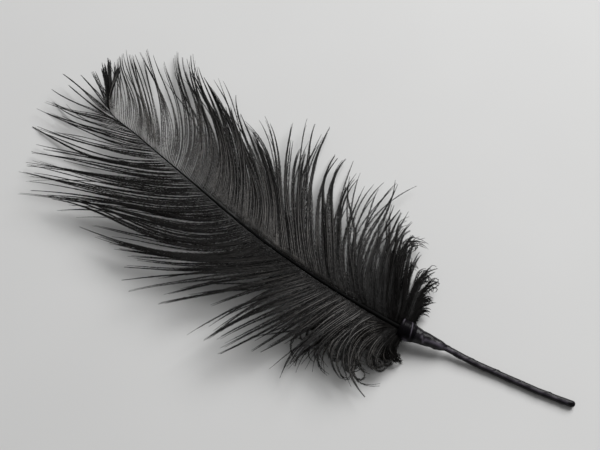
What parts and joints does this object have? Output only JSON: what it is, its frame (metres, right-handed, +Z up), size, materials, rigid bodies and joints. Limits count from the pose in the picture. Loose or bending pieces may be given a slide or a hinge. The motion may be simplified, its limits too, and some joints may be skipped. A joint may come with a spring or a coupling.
{
  "type": "ostrich feather on a taped stem",
  "caption": "Curved black plume with two loose vanes on a tapering shaft, bound by a tape collar to a straight tape-wound wire stem.",
  "frame": {"origin": "middle of the feather's outline, on the surface it lies on", "axes": "+X from the tip of the plume towards the end of the stem, +Z up from the surface it lies on, +Y towards the right-hand vane"},
  "size_m": [0.3766, 0.1608, 0.0154],
  "materials": {
    "shaft": "black dyed keratin, satin",
    "barbs": "black dyed barbs with fine barbules, soft sheen",
    "tape": "stretched waxed crepe tape, black with a satin gloss",
    "wire": "drawn stub wire, hidden in the tape"
  },
  "bodies": {
    "root": {"shaft": "shaft", "left_vane": "barbs", "right_vane": "barbs", "binding_collar": "tape", "stem_tape": "tape", "stem_wire": "wire"}
  },
  "joints": []
}
